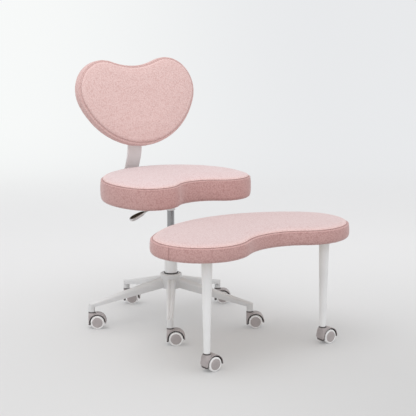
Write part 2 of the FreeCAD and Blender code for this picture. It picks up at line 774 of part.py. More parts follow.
def build_lever():
    """Bent rod with an eye on its pivot, and a flat paddle grip."""
    pivot = Vector(number(size.pivot_x), 0, number(size.pivot_z))
    slope = math.radians(number(size.lever_slope))
    outward = Vector(-math.cos(slope), 0, -math.sin(slope))
    radius = number(size.lever_radius)
    tip_distance = (number(size.grip_reach) + pivot.x) / math.cos(slope)
    grip_length = number(size.grip_length)
    depth = number(size.grip_socket)
    root = pivot + outward * (tip_distance - grip_length)
    inner_end = Vector(6, 0, pivot.z)
    rod_end = root + outward * depth
    path = rounded_path([inner_end, pivot, rod_end], [30])
    section = Part.Wire(Part.Circle(inner_end, ALONG_X, radius).toShape())
    rod = swept(path, section)
    wide = number(size.eye_width)
    eye_start = pivot - ALONG_Y * (wide / 2)
    eye = Part.makeCylinder(number(size.eye_radius), wide, eye_start, ALONG_Y)
    pin = Part.makeCylinder(number(size.lever_pin_radius) + number(size.running), wide, eye_start, ALONG_Y)
    node("lever_rod", formed("LeverRod", rod.fuse(eye).cut(pin).removeSplitter()))

    normal = ALONG_Y.cross(outward)
    sections = []
    swell = ((0, 6, 5), (0.2, 10, 9), (0.55, 13, 11), (0.88, 12, 9.5), (1, 8, 5.5))
    for share, half_wide, half_thick in swell:
        ring = Part.Ellipse(Vector(), half_wide, half_thick)
        wire = Part.Wire(ring.toShape())
        spot = root + outward * (share * grip_length)
        wire.Placement = Placement(spot, Rotation(ALONG_Y, normal, outward, "ZXY"))
        sections.append(wire)
    grip = Part.makeLoft(sections, True, False)
    socket = Part.makeCylinder(radius, depth, root, outward)
    node("lever_grip", formed("LeverGrip", grip.cut(socket)))


def back_placement():
    """From the flat drawing of the back, lobes towards -Y and padded side up, to its place on the chair."""
    lean = Rotation(ALONG_X, 90 - number(size.back_tilt))
    facing = lean.multiply(Rotation(UP, 180))
    depth = number(size.back_side) + number(size.back_crown)
    centre = Vector(0, number(size.back_y), number(size.back_z))
    return Placement(centre - facing.multVec(UP * depth / 2), facing)


def back_bolt_spots():
    return [(sign * 17, y) for sign in (-1, 1) for y in (-66, 2)]


def bar_bolt_spots():
    return [(sign * 17, y) for sign in (-1, 1) for y in (125, 185)]


def back_bar():
    """Flat bar from under the seat, up behind it with a waist, and along the middle of the back's rear."""
    half = number(size.bar_thick) / 2
    seat_line = number(size.seat_under) - half
    rear = back_placement()
    foot = Vector(0, number(size.bar_foot_y), seat_line)
    corner = Vector(0, number(size.bar_rear_y), seat_line)
    waist = Vector(0, number(size.bar_waist_y), number(size.bar_waist_z))
    knee = rear.multVec(Vector(0, number(size.bar_knee), -half))
    top = rear.multVec(Vector(0, -number(size.bar_top), -half))
    bend = number(size.bar_bend_round)
    path = rounded_path([foot, corner, waist, knee, top], [number(size.bar_corner_round), bend, bend])
    section = rounded_rectangle(foot, ALONG_X, UP, number(size.bar_width), number(size.bar_thick), 2.6)
    bar = swept(path, section)
    radius = number(size.bolt_radius)
    for x, y in bar_bolt_spots():
        bar = bar.cut(Part.makeCylinder(radius, 20, Vector(x, y, seat_line - 10)))
    for x, y in back_bolt_spots():
        hole = Part.makeCylinder(radius, 20, Vector(x, y, -12))
        hole.Placement = rear
        bar = bar.cut(hole)
    node("back_bar", formed("BackBar", bar))


def bolt(name, grip):
    """Round-headed bolt pointing up, with the underside of its head at zero."""
    return turned(name, (
        (0, -size.head_high),
        (size.bolt_head - 2, -size.head_high),
        (size.bolt_head, -2),
        (size.bolt_head, 0),
        (size.bolt_radius, 0),
        (size.bolt_radius, grip),
        (0, grip),
    ))


def build_fasteners():
    short = bolt("PlateBolt", size.plate_grip)
    long = bolt("BarBolt", size.bar_grip)
    plate_low = number(size.seat_under) - number(size.plate_thick)
    bar_low = number(size.seat_under) - number(size.bar_thick)
    bench_low = number(size.bench_under) - number(size.plate_thick)
    group("seat_bolts", short, [Placement(Vector(x, y, plate_low), Rotation()) for x, y in seat_bolt_spots()])
    group("back_bar_bolts", long, [Placement(Vector(x, y, bar_low), Rotation()) for x, y in bar_bolt_spots()])
    rear = back_placement()
    behind = [Placement(Vector(x, y, -number(size.bar_thick)), Rotation()) for x, y in back_bolt_spots()]
    group("back_bolts", long, [rear.multiply(spot) for spot in behind])
    bench_spots = [Placement(Vector(x, y, bench_low), Rotation()) for x, y in bench_screw_spots()]
    group("bench_screws", short, bench_spots)


# Cushions and their boards


class Bean:
    """Kidney outline, alike on both sides of Y: a broad arc behind, a lobe at each end, a notch between."""

    def __init__(self, half, back, front, notch, lobe):
        self.lobe = lobe
        self.hub = Vector(half - lobe, front + lobe, 0)
        rise = back - self.hub.y
        self.back_radius = (self.hub.x**2 + rise**2 - lobe**2) / (2 * (rise - lobe))
        self.back_hub = Vector(0, back - self.back_radius, 0)
        dip = self.hub.y - notch
        self.notch_radius = (self.hub.x**2 + dip**2 - lobe**2) / (2 * (lobe - dip))
        self.notch_hub = Vector(0, notch - self.notch_radius, 0)

    def wire(self, inset, height):
        """The outline drawn in by an inset, at a height."""
        leave_back = math.atan2(self.hub.y - self.back_hub.y, self.hub.x)
        leave_notch = math.atan2(self.hub.y - self.notch_hub.y, self.hub.x)
        turn = leave_notch - math.pi
        mid_lobe = (leave_back + turn) / 2
        runs = (
            (self.back_hub, self.back_radius - inset, math.pi / 2, leave_back),
            (self.hub, self.lobe - inset, leave_back, mid_lobe),
            (self.hub, self.lobe - inset, mid_lobe, turn),
            (self.notch_hub, self.notch_radius + inset, leave_notch, math.pi / 2),
        )
        right = []
        left = []
        for hub, radius, first, last in runs:
            spots = [self.spot(hub, radius, angle, height) for angle in (first, (first + last) / 2, last)]
            right.append(Part.Arc(*spots).toShape())
            mirrored = [Vector(-spot.x, spot.y, spot.z) for spot in reversed(spots)]
            left.insert(0, Part.Arc(*mirrored).toShape())
        return Part.Wire(right + left)

    @staticmethod
    def spot(hub, radius, angle, height):
        return hub + Vector(radius * math.cos(angle), radius * math.sin(angle), height)

    def slab(self, inset, low, thick):
        return Part.Face(self.wire(inset, low)).extrude(UP * thick)

    def cushion(self, low, side, crown):
        """Padded form: sides drawn in at the base and at the seam, and a crown above the seam."""
        walls = ((0, 11), (0.1, 4), (0.35, 0), (0.68, 0), (1, 4))
        swell = ((0, 4), (0.42, 16), (0.78, 42), (1, 84))
        wall = Part.makeLoft([self.wire(inset, low + share * side) for share, inset in walls], True, False)
        rings = [self.wire(inset, low + side + share * crown) for share, inset in swell]
        top = Part.makeLoft(rings, True, False)
        return wall.fuse(top).removeSplitter()


def seat_bean():
    return Bean(*[number(part) for part in (
        size.seat_half, size.seat_back, -size.seat_front, -size.seat_notch, size.seat_lobe)])


def bench_bean():
    return Bean(*[number(part) for part in (
        size.bench_half, -size.bench_near, -size.bench_far, -size.bench_notch, size.bench_lobe)])


def back_bean():
    return Bean(*[number(part) for part in (
        size.back_half, size.back_low, -size.back_high, -size.back_notch, size.back_lobe)])


def add_upholstery(label, bean, low, side, crown, holes, placement=None):
    """A cushion over its plywood board, which lies flush in its underside and takes the fasteners."""
    inset = number(size.board_inset)
    thick = number(size.board_thick)
    slab = bean.slab(inset, low, thick)
    cushion = bean.cushion(low, side, crown).cut(slab)
    board = slab
    for x, y, radius in holes:
        board = board.cut(Part.makeCylinder(radius, thick, Vector(x, y, low)))
    node(f"{label}_board", formed(f"{label}_board", board, placement))
    node(f"{label}_cushion", formed(f"{label}_cushion", cushion, placement))


def build_upholstery():
    radius = number(size.bolt_radius)
    stud = number(size.stud_radius)
    seat_holes = [(x, y, radius) for x, y in seat_bolt_spots() + bar_bolt_spots()]
    add_upholstery("seat", seat_bean(), number(size.seat_under), number(size.seat_side),
                   number(size.seat_crown), seat_holes)
    back_holes = [(x, y, radius) for x, y in back_bolt_spots()]
    add_upholstery("back", back_bean(), 0, number(size.back_side), number(size.back_crown),
                   back_holes, back_placement())
    legs = [(sign * number(size.leg_x), -number(size.leg_y), stud) for sign in (-1, 1)]
    bench_holes = [(x, y, radius) for x, y in bench_screw_spots()] + legs
    add_upholstery("bench", bench_bean(), number(size.bench_under), number(size.bench_side),
                   number(size.bench_crown), bench_holes)


# Swing arm and legs of the bench


def bench_screw_spots():
    return [(sign * 65, y) for sign in (-1, 1) for y in (-415, -292)]


def build_swing_arm():
    bush_outer = size.tube_radius + size.bush_wall
    node("collar_bush", turned("CollarBush", (
        (size.tube_radius + size.running, size.collar_low - 3),
        (size.collar_radius - 1, size.collar_low - 3),
        (size.collar_radius - 1, size.collar_low),
        (bush_outer, size.collar_low),
        (bush_outer, size.collar_high),
        (size.tube_radius + size.running, size.collar_high),
    )))
    node("swing_collar", turned("SwingCollar", (
        (bush_outer, size.collar_low),
        (size.collar_radius, size.collar_low),
        (size.collar_radius, size.collar_high),
        (bush_outer, size.collar_high),
    )))
    tall = number(size.arm_tall)
    plate_low = number(size.bench_under) - number(size.plate_thick)
    start_z = number(size.collar_high) - tall / 2 - 2
    end_z = plate_low - tall / 2
    start = Vector(0, -20, start_z)
    reach = number(size.arm_reach)
    bend = number(size.arm_round)
    points = [start, Vector(0, -80, start_z), Vector(0, -205, end_z), Vector(0, -reach, end_z)]
    path = rounded_path(points, [bend, bend])
    wide = number(size.arm_wide)
    tube = swept(path, rounded_rectangle(start, ALONG_X, UP, wide, tall, 4))
    hollow = swept(path, rounded_rectangle(start, ALONG_X, UP, wide - 4, tall - 4, 2))
    collar = Part.makeCylinder(number(size.collar_radius), 200, Vector(0, 0, start_z - 100))
    plate_wide = number(size.bench_plate_width)
    plate_at = Vector(-plate_wide / 2, -reach - 4, plate_low)
    plate = Part.makeBox(plate_wide, number(size.bench_plate_length), number(size.plate_thick), plate_at)
    for x, y in bench_screw_spots():
        plate = plate.cut(Part.makeCylinder(number(size.bolt_radius), 10, Vector(x, y, plate_low - 3)))
    node("swing_arm", formed("SwingArm", tube.cut(hollow).cut(collar).fuse(plate).removeSplitter()))


def bench_leg(label, side):
    """Tapered tube with a stud into the board at its top and a stem socket at its foot."""
    foot = size.stem_seat + size.swivel_gap
    wall = size.leg_wall
    body = turned(label, (
        (size.stem_radius, foot),
        (size.leg_low_radius, foot),
        (size.leg_top_radius, size.bench_under),
        (size.stud_radius, size.bench_under),
        (size.stud_radius, size.bench_under + size.board_thick),
        (0, size.bench_under + size.board_thick),
        (0, size.bench_under - 6),
        (size.leg_top_radius - wall, size.bench_under - 6),
        (size.leg_low_radius - wall, foot + size.stem_rise + 8),
        (0, foot + size.stem_rise + 8),
        (0, foot + size.stem_rise),
        (size.stem_radius, foot + size.stem_rise),
    ))
    place(body, (size.leg_x * side, -size.leg_y, 0))
    node(label, body)


def write_parts():
    """Stop on any failed object, then write each sub-part to its own file."""
    doc.recompute()
    for obj in doc.Objects:
        if "Invalid" in obj.State or "Error" in obj.State:
            raise RuntimeError(f"{obj.Name} failed: {obj.State}")
    os.makedirs("parts", exist_ok=True)
    for obj in nodes:
        shape = obj.Shape
        if shape.isNull() or not shape.isValid():
            raise RuntimeError(f"{obj.Label} has no valid shape")
    for obj in nodes:
        obj.Shape.exportStep(f"parts/{obj.Label}.step")
        print(obj.Label, len(obj.Shape.Solids), round(obj.Shape.Volume))


star_base()
build_column()
build_gas_cylinder()
build_seat_plate()
build_lever()
back_bar()
build_upholstery()
build_fasteners()
build_swing_arm()
bench_leg("bench_leg_right", -1)
bench_leg("bench_leg_left", 1)
build_casters()
write_parts()
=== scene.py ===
"""Looks of a cross-legged office chair: fleece cushions, coated metal, two-tone casters and a studio."""
import json
import math

import bpy
from mathutils import Matrix, Vector


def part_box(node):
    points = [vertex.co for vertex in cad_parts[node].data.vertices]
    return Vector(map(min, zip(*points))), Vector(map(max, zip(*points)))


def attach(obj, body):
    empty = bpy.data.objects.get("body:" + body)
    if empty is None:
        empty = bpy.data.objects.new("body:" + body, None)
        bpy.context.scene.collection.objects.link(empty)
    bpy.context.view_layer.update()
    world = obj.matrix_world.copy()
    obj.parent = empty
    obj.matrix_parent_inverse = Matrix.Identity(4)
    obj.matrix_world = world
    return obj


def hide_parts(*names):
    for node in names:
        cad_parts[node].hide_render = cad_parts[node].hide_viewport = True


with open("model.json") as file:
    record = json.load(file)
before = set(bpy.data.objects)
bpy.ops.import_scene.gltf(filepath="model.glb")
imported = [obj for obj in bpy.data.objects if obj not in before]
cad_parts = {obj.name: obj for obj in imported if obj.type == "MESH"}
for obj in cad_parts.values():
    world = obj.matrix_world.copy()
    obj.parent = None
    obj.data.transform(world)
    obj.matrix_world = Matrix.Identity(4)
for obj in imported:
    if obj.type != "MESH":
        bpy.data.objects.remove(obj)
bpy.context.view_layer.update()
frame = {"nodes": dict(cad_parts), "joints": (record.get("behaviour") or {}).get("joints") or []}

bl_info = {
    "name": "Cross-Legged Office Chair",
    "version": (1, 0, 0),
    "blender": (4, 5, 0),
    "location": "View3D > Sidebar > Chair",
    "description": "Dresses the frame of a cross-legged office chair and sets it on a studio floor",
    "category": "Object",
}

NODES = frame["nodes"]
UP = Vector((0, 0, 1))
CASTERS = [f"caster_{number}" for number in range(1, 6)] + ["bench_caster_right", "bench_caster_left"]

# Distances for merging points, for cutting and for a sharp change of colour
MERGE = 0.00005
CUT = 0.00001
SHARP = 0.0003

# Cloth of the covers
SIM_FRAMES = 20
CLOTH = {
    "quality": 5, "mass": 0.3, "tension_stiffness": 20, "compression_stiffness": 2, "shear_stiffness": 3,
    "bending_stiffness": 15, "use_pressure": True, "uniform_pressure_force": 4, "vertex_group_mass": "held",
}
EASE_ROUNDS = 20
SMOOTH_ROUNDS = 8

# Share of the nap that a seam calms, and how many seam widths that reaches
NAP_CALM = 0.85
NAP_REACH = 3

# Studio: half width, rise and sweep of the paper, and the lights
PAPER_HALF = 6
PAPER_RISE = 7
PAPER_SWEEP = 2.5
SKY = 1.04
SOFTBOX = {"place": (-1.15, -0.95, 4.1), "target": (0, -0.2, 0.4), "side": 2.6, "power": 47}


# Settings that a user would change


def length_setting(name, description, default):
    return bpy.props.FloatProperty(
        name=name, description=description, default=default, subtype="DISTANCE", unit="LENGTH")


def angle_setting(name, description, degrees):
    return bpy.props.FloatProperty(
        name=name, description=description, default=math.radians(degrees), subtype="ANGLE", unit="ROTATION")


def colour_setting(name, description, default):
    return bpy.props.FloatVectorProperty(
        name=name, description=description, default=default, size=3, min=0, max=1, subtype="COLOR")


class ChairSizes(bpy.types.PropertyGroup):
    """Sizes of the upholstery"""

    voxel: length_setting("Cover cell", "Cell of the cover's mesh before it is smoothed", 0.0055)
    draw_in: length_setting("Draw in", "How far a cushion is drawn in before it is blown up", 0.0015)
    swell: length_setting("Swell", "Furthest that a point of a cover may swell", 0.0045)
    held: length_setting("Held edge", "Height of the cover's edge that the board holds", 0.016)
    seat_crown: length_setting("Seat crown", "Height of the seat's top above its seam", 0.014)
    back_crown: length_setting("Back crown", "Depth of the back's front before its seam", 0.010)
    bench_crown: length_setting("Bench crown", "Height of the bench's top above its seam", 0.0105)
    back_tilt: angle_setting("Back tilt", "Recline of the back", 14.5)
    seam_depth: length_setting("Seam depth", "Depth of the groove along a seam", 0.0032)
    seam_width: length_setting("Seam width", "Half the width of the groove along a seam", 0.0022)
    seam_ridge: length_setting("Seam ridge", "Height of the turned edges beside a seam", 0.0011)
    thread: length_setting("Thread", "Radius of the cord in a seam", 0.0010)
    join_x: length_setting("Join centre, side", "Place of the bench's lobes beside the middle", 0.230)
    join_y: length_setting("Join centre, front", "Place of the bench's lobes in front of the column", 0.503)
    join_reach: length_setting("Join reach", "Least distance of a join from the middle of its lobe", 0.160)
    join_turn: angle_setting("Join turn", "Turn of the bench's upright joins towards its front", 15)
    curl: length_setting("Curl", "Spacing of the fleece's curls", 0.0065)
    curl_height: length_setting("Curl height", "Height of the fleece's curls", 0.0013)
    tuft: length_setting("Tuft", "Spacing of the fleece's broad tufts", 0.030)
    tuft_height: length_setting("Tuft height", "Height of the fleece's broad tufts", 0.0005)
    lever_slope: angle_setting("Lever slope", "Fall of the lever towards its grip", 18.5)
    wheel_disc: length_setting("Wheel disc", "Radius of the grey disc inside a wheel's tread", 0.0198)
    # Painted shade on the casters: the reach of the dark wells, the height of the dark band under the leg and
    # the top of the dark bottom of the housing.
    well_shade_radius: length_setting("Wheel well", "Radius of the dark well over a wheel", 0.0318)
    gap_shade_low: length_setting("Washer, low", "Height of the underside of the washer on a caster", 0.0624)
    low_shade_top: length_setting("Foot, top", "Height of the dark foot of a caster's housing", 0.0200)


class ChairColours(bpy.types.PropertyGroup):
    """Colours of the chair"""

    # The deep colours between the curls are partly painted shade in the hollows of the fleece and partly random
    # tone.
    back_deep: colour_setting(
        "Back, deep", "Colour between the curls of the back's front", (0.62, 0.412, 0.39))
    back_tip: colour_setting(
        "Back, tip", "Colour of the curl tips of the back's front", (0.757, 0.567, 0.546))
    # Painted light and shade: the tops of the seat and the bench are the same fleece as the back's front,
    # painted paler on the seat and darker on the bench for the light that falls on them.
    seat_deep: colour_setting(
        "Seat, deep", "Colour between the curls of the seat's top", (0.583, 0.424, 0.421))
    seat_tip: colour_setting("Seat, tip", "Colour of the curl tips of the seat's top", (0.712, 0.584, 0.588))
    bench_deep: colour_setting(
        "Bench, deep", "Colour between the curls of the bench's top", (0.535, 0.383, 0.375))
    bench_tip: colour_setting(
        "Bench, tip", "Colour of the curl tips of the bench's top", (0.652, 0.527, 0.525))
    # Painted shade: the sides of the cushions are painted darker than their tops.
    shaded_side_deep: colour_setting(
        "Boxing, deep", "Colour between the curls of a cushion's sides", (0.44, 0.25, 0.238))
    shaded_side_tip: colour_setting(
        "Boxing, tip", "Colour of the curl tips of a cushion's sides", (0.58, 0.37, 0.352))
    white_coat: colour_setting("White coat", "Colour of the coated metal", (0.81, 0.81, 0.815))
    base_grey: colour_setting("Base", "Colour of the star base", (0.68, 0.68, 0.685))
    caster_grey: colour_setting("Caster grey", "Colour of the caster housings and discs", (0.42, 0.38, 0.38))
    # Painted shade on the casters: the colour in the wells, in the band under the legs and along the bottoms of
    # the housings.
    caster_painted_shade: colour_setting(
        "Caster shade", "Colour of the wells, washers and feet of the casters", (0.06, 0.05, 0.05))
    tread_white: colour_setting("Tread", "Colour of the wheels' treads", (0.86, 0.85, 0.85))
    gas_grey: colour_setting("Gas cylinder", "Colour of the polished gas cylinder", (0.36, 0.36, 0.37))
    # The lever's grip is chrome; its top side is painted black as a painted reflection of the dark seat above
    # it.
    chrome: colour_setting("Chrome", "Colour of the lower side of the lever's grip", (0.74, 0.72, 0.72))
    zinc: colour_setting("Zinc", "Colour of plated steel", (0.56, 0.56, 0.57))
    black: colour_setting("Black", "Colour of the black plastic", (0.02, 0.02, 0.021))
    ply_light: colour_setting("Plywood, light", "Light grain of the boards", (0.62, 0.45, 0.28))
    ply_dark: colour_setting("Plywood, dark", "Dark grain of the boards", (0.44, 0.29, 0.16))


class ChairStage(bpy.types.PropertyGroup):
    """Camera, floor and light"""

    view_heading: angle_setting("View heading", "Direction of the camera's stand, from -Y towards -X", 35.5)
    view_distance: length_setting("View distance", "Level distance of the camera from the column", 4.6)
    view_height: length_setting("View height", "Height of the camera", 1.338)
    view_turn: angle_setting("View turn", "Turn of the camera away from the column", 1.815)
    view_pitch: angle_setting("View pitch", "Downward pitch of the camera", 10.88)
    lens: bpy.props.FloatProperty(
        name="Lens", description="Focal length of the camera", default=103.85, subtype="DISTANCE_CAMERA")
    # Painted shade on the paper: darker near the camera than behind the chair, and darker still in the near
    # right corner.
    floor_grey: colour_setting("Floor", "Colour of the paper near the camera", (0.60, 0.60, 0.60))
    corner_painted_shade: colour_setting(
        "Near corner", "Colour of the paper near the camera on the right", (0.51, 0.51, 0.51))
    far_grey: colour_setting("Far floor", "Colour of the paper behind the chair", (0.76, 0.76, 0.765))
    fill_glow: colour_setting("Floor fill", "Light that lifts the shadows on the floor", (0.75, 0.75, 0.755))
    left_glow: colour_setting("Backdrop, left", "Light of the backdrop on the left", (0.935, 0.95, 0.945))
    right_glow: colour_setting("Backdrop, right", "Light of the backdrop on the right", (0.81, 0.82, 0.835))


# Shader maths


class Wire:
    """A value in a material: arithmetic on it adds the Math nodes."""

    def __init__(self, finish, socket):
        self.finish = finish
        self.socket = socket

    def math(self, operation, *values):
        sockets = dict(enumerate(values))
        return self.finish.node("ShaderNodeMath", {"operation": operation}, sockets)

    def __add__(self, other):
        return self.math("ADD", self, other)

    def __sub__(self, other):
        return self.math("SUBTRACT", self, other)

    def __rsub__(self, other):
        return self.math("SUBTRACT", other, self)

    def __mul__(self, other):
        return self.math("MULTIPLY", self, other)

    def step(self, low, high):
        """Smooth rise from 0 at low to 1 at high."""
        return self.finish.node(
            "ShaderNodeMapRange", {"interpolation_type": "SMOOTHSTEP"},
            {"Value": self, "From Min": low, "From Max": high})

    def edge(self, level, half=SHARP):
        """Narrow rise from 0 to 1 at a level."""
        return self.step(level - half, level + half)

    __radd__ = __add__
    __rmul__ = __mul__


class Finish:
    """A material under construction."""

    def __init__(self, name):
        self.material = bpy.data.materials.new(name)
        self.material.use_nodes = True
        self.tree = self.material.node_tree
        self.shader = self.tree.nodes["Principled BSDF"]

    def node(self, kind, settings=None, sockets=None, output=0):
        """Add a node: its settings first, then the values or wires of its sockets; returns one output."""
        node = self.tree.nodes.new(kind)
        for name, value in (settings or {}).items():
            setattr(node, name, value)
        for name, value in (sockets or {}).items():
            self.feed(node.inputs[name], value)
        return Wire(self, node.outputs[output])

    def feed(self, socket, value):
        if isinstance(value, Wire):
            self.tree.links.new(value.socket, socket)
        else:
            socket.default_value = value

    def place(self):
        """Object coordinates of the piece."""
        return self.node("ShaderNodeTexCoord", output="Object")

    def turned_place(self, centre, heading):
        """Object coordinates moved to a centre and turned about Z to a heading."""
        return self.node("ShaderNodeMapping", {"vector_type": "TEXTURE"}, {
            "Vector": self.place(), "Location": tuple(centre), "Rotation": (0, 0, heading)})

    def along(self, direction, place=None):
        """How far a point lies along a direction."""
        return self.node("ShaderNodeVectorMath", {"operation": "DOT_PRODUCT"}, {
            0: place or self.place(), 1: tuple(direction)}, output="Value")

    def axle_distance(self, centre, heading):
        """Distance from a level axle through a centre."""
        local = self.turned_place(centre, heading)
        flat = self.node("ShaderNodeVectorMath", {"operation": "MULTIPLY"}, {0: local, 1: (1, 0, 1)})
        return self.node("ShaderNodeVectorMath", {"operation": "LENGTH"}, {0: flat}, output="Value")

    def noise(self, place, scale, detail=2, roughness=0.5):
        return self.node("ShaderNodeTexNoise", None, {
            "Vector": place, "Scale": scale, "Detail": detail, "Roughness": roughness})

    def cells(self, place, scale):
        return self.node("ShaderNodeTexVoronoi", {"feature": "F1"}, {"Vector": place, "Scale": scale})

    def mix(self, share, first, second):
        """Colour between two, by a share from 0 to 1."""
        return self.node("ShaderNodeMix", {"data_type": "RGBA"}, {
            0: share, 6: rgba(first), 7: rgba(second)}, output=2)

    def mottle(self, patches, colour, share):
        """Colour that falls to a share of itself between the patches of a noise."""
        return self.mix(patches.step(0.3, 0.7), [share * part for part in colour], colour)

    def bump(self, height, strength, distance):
        return self.node("ShaderNodeBump", None, {
            "Height": height, "Strength": strength, "Distance": distance})

    def surface(self, **values):
        """Set the shader's sockets, named with underscores for spaces."""
        for name, value in values.items():
            socket = self.shader.inputs[name.replace("_", " ").title().replace("Ior", "IOR")]
            self.feed(socket, rgba(value) if socket.type == "RGBA" else value)
        return self.material


def rgba(colour):
    """A colour with its alpha, or a wire as it is."""
    return colour if isinstance(colour, Wire) else (*colour[:3], 1)


# Finishes


def fleece_finish(label, colours, out, level, shade):
    """Short curly fleece: deep pink between pale curl tips, the deep pink partly painted shade in the hollows
    between the curls and partly random tone; painted shade darkens the sides below the seam by a share, and the
    tops carry painted light and shade of their own.
    """
    finish = Finish(f"{label}_fleece")
    place = finish.place()
    height = finish.along(out, place)
    # Painted shade: below the seam the sides take the darker side colours, by the share given as shade.
    lower = 1 - height.step(level - 0.003, level + 0.0005)
    # Deep pink between the curls is partly painted shade in the hollows of the fleece and partly random tone.
    curls = finish.cells(place, 190)
    fibres = finish.noise(place, 600, 3, 0.6)
    clouds = finish.noise(place, 34, 3, 0.55)
    tips = (1 - curls * 1.25) * 0.55 + fibres * 0.35 + (clouds - 0.5) * 0.12
    share = tips.step(0.0, 0.75)
    shaded_wall = finish.mix(share, colours.shaded_side_deep, colours.shaded_side_tip)
    # Painted light and shade: just above the seam the crown keeps the back's colours, and higher up it fades to
    # the top's own lit copy, paler on the seat and darker on the bench.
    rim = finish.mix(share, colours.back_deep, colours.back_tip)
    middle = finish.mix(share, getattr(colours, f"{label}_deep"), getattr(colours, f"{label}_tip"))
    panel = finish.mix(height.step(level, level + 0.011), rim, middle)
    base = finish.mix(lower * shade, panel, shaded_wall)
    relief = finish.bump(tips, 0.3, 0.003)
    return finish.surface(
        base_color=base, roughness=0.92, normal=relief, specular_ior_level=0.2,
        sheen_weight=0.45, sheen_roughness=0.35, sheen_tint=(0.97, 0.97, 0.98))


def thread_finish(name, colour):
    """Twisted thread at the bottom of a seam, mottled down to half its colour; the groove shades it for real,
    and its dark colour paints more shade into the seam.
    """
    finish = Finish(name)
    fibres = finish.noise(finish.place(), 420, 3, 0.6)
    return finish.surface(
        base_color=finish.mottle(fibres, colour, 0.5), roughness=0.8, normal=finish.bump(fibres, 0.4, 0.001))


def coat_finish(name, colour):
    """Powder coat with a faint orange peel."""
    finish = Finish(name)
    place = finish.place()
    peel = finish.noise(place, 900, 2, 0.5)
    patches = finish.noise(place, 9, 2, 0.5)
    base = finish.mix(patches.step(0.35, 0.65), [0.94 * part for part in colour], colour)
    return finish.surface(
        base_color=base, roughness=0.30 + patches * 0.12, normal=finish.bump(peel, 0.10, 0.0004),
        specular_ior_level=0.45)


def moulded(finish, patches, base):
    """Surface of moulded plastic with a fine spark-eroded grain."""
    grain = finish.noise(finish.place(), 1400, 2, 0.6)
    return finish.surface(
        base_color=base, roughness=0.42 + patches * 0.15, normal=finish.bump(grain, 0.14, 0.0003))


def plastic_finish(name, colour):
    """Moulded plastic of one colour."""
    finish = Finish(name)
    patches = finish.noise(finish.place(), 45, 3, 0.5)
    return moulded(finish, patches, finish.mottle(patches, colour, 0.88))


def housing_finish(name, colours, sizes, centre, heading):
    """Grey plastic with painted shade: dark in the wells over the wheels, in a band at the top where the caster
    meets its leg, and along the bottom of the housing.
    """
    finish = Finish(name)
    height = finish.along(UP)
    # Painted shade: inside the wells, in the band at the top under the leg and along the bottom, the housing
    # takes the dark shade colour.
    outside = finish.axle_distance(centre, heading).edge(sizes.well_shade_radius)
    below = 1 - height.edge(sizes.gap_shade_low)
    above = height.edge(sizes.low_shade_top, 0.001)
    patches = finish.noise(finish.place(), 45, 3, 0.5)
    grey = finish.mottle(patches, colours.caster_grey, 0.84)
    return moulded(finish, patches, finish.mix(outside * below * above, colours.caster_painted_shade, grey))


def wheel_finish(name, colours, sizes, centre, heading):
    """Grey disc inside a white tread, told apart by the distance from the axle."""
    finish = Finish(name)
    tread = finish.axle_distance(centre, heading).edge(sizes.wheel_disc)
    patches = finish.noise(finish.place(), 60, 3, 0.55)
    grey = finish.mottle(patches, colours.caster_grey, 0.9)
    worn = [0.93 * part for part in colours.tread_white]
    white = finish.mix(patches.step(0.35, 0.7), colours.tread_white, worn)
    grain = finish.noise(finish.place(), 1300, 2, 0.6)
    return finish.surface(
        base_color=finish.mix(tread, grey, white), roughness=0.40 + tread * 0.15,
        normal=finish.bump(grain, 0.12, 0.0003))


def metal_finish(name, colour, roughness, streak=0.06):
    """Polished or plated metal with fine lengthwise draw marks."""
    finish = Finish(name)
    place = finish.place()
    drawn = finish.node("ShaderNodeMapping", None, {"Vector": place, "Scale": (1, 1, 0.02)})
    marks = finish.noise(drawn, 900, 3, 0.6)
    patches = finish.noise(place, 20, 2, 0.5)
    return finish.surface(
        base_color=finish.mottle(patches, colour, 0.9), metallic=1.0, roughness=roughness + marks * streak,
        normal=finish.bump(marks, 0.05, 0.0002))


def grip_finish(colours, box, slope):
    """Glossy chromed grip whose top side is painted black as a painted reflection of the dark underside of the
    seat, parted along the slope of the lever.
    """
    finish = Finish("lever_grip")
    low, high = (Vector(corner) for corner in box)
    lean = Vector((-math.tan(slope), 0, 1))
    # Painted reflection: the top side of the grip is black and not metallic, standing in for the dark seat that
    # it reflects.
    painted_dark_reflection = (finish.along(lean) - lean.dot((low + high) / 2)).step(0.001, 0.008)
    return finish.surface(
        base_color=finish.mix(painted_dark_reflection, colours.chrome, colours.black), metallic=1 - painted_dark_reflection, roughness=0.16)


def plywood_finish(colours):
    """Birch veneer with its grain along X."""
    finish = Finish("birch_plywood")
    place = finish.place()
    along = finish.node("ShaderNodeMapping", None, {"Vector": place, "Scale": (3, 42, 42)})
    grain = finish.noise(along, 4, 5, 0.65)
    pores = finish.noise(along, 22, 3, 0.7)
    base = finish.mix((grain * 0.8 + pores * 0.35).step(0.35, 0.8), colours.ply_light, colours.ply_dark)
    return finish.surface(
        base_color=base, roughness=0.6 + pores * 0.15, normal=finish.bump(pores, 0.15, 0.0004))


